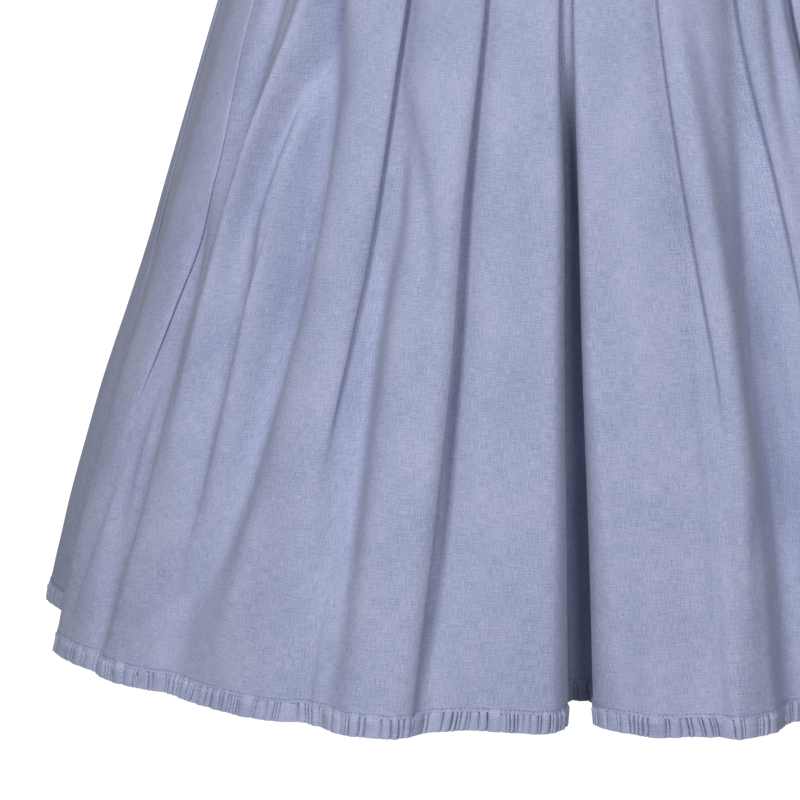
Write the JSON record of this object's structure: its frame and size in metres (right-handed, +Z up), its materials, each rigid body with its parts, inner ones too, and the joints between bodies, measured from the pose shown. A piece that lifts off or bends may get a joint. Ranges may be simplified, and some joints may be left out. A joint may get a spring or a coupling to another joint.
{
  "type": "dirndl dress",
  "caption": "Sleeveless one-piece folk dress: buttoned bodice with broad straps sewn to a full pleated skirt with a narrow gathered hem ruffle.",
  "frame": {"origin": "midpoint between the tops of the two shoulder straps, where the dress hangs on its wearer", "axes": "+Z up, -Y the front of the dress, +X the side to the right of somebody looking at the front"},
  "size_m": [0.6322, 0.4941, 0.9956],
  "materials": {
    "cloth": "matte woven cotton chambray",
    "ruffle_cloth": "matte woven cotton chambray, a little lighter",
    "button": "satin domed button"
  },
  "bodies": {
    "root": {"skirt_front": "cloth", "skirt_back": "cloth", "bodice_front_left": "cloth", "bodice_front_right": "cloth", "bodice_back": "cloth", "hem_ruffle_front": "ruffle_cloth", "hem_ruffle_back": "ruffle_cloth", "button_1": "button", "button_2": "button", "button_3": "button", "button_4": "button", "button_5": "button"}
  },
  "joints": []
}
